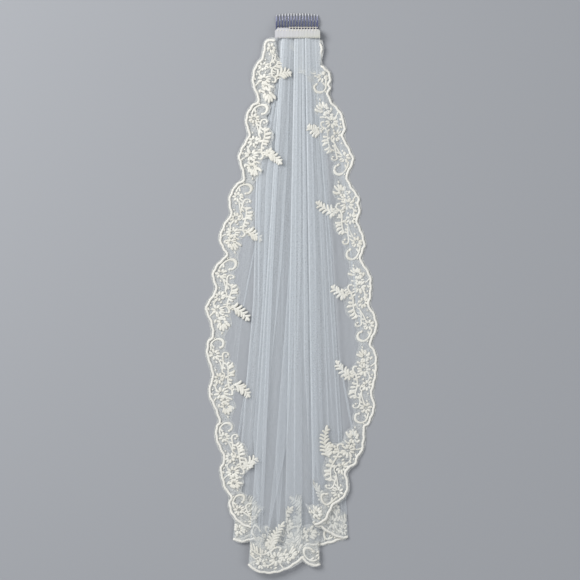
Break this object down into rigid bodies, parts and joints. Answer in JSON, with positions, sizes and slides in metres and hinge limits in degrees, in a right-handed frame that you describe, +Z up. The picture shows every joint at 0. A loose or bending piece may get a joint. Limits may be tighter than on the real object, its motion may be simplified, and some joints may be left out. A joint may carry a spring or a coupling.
{
  "type": "fingertip veil on a hair comb",
  "caption": "Bridal veil laid flat: pleated tulle on a clear hair comb, with a corded, scalloped floral lace border along both sides and the hem.",
  "frame": {"origin": "middle of the underside of the comb's spine, on the surface that the veil lies on", "axes": "+X to the right as the veil is seen from above with its comb at the top, +Y along the veil from the hem towards the tips of the comb's teeth, +Z up from the surface"},
  "size_m": [0.3002, 0.979, 0.0179],
  "materials": {
    "comb_plastic": "clear moulded polystyrene, glossy",
    "heading_ribbon": "matte woven binding over gathered tulle, ivory",
    "tulle": "fine hexagonal nylon net, soft and see-through, off-white",
    "lace": "embroidered floral lace on net, ivory, soft satin thread",
    "cord": "twisted cotton-rayon cord, ivory, satin thread"
  },
  "bodies": {
    "root": {"comb": "comb_plastic", "heading_band": "heading_ribbon", "veil_tulle": "tulle", "lace_border_left": "lace", "lace_border_right": "lace", "lace_border_hem": "lace", "edge_cord_left": "cord", "edge_cord_right": "cord", "edge_cord_hem": "cord"}
  },
  "joints": []
}
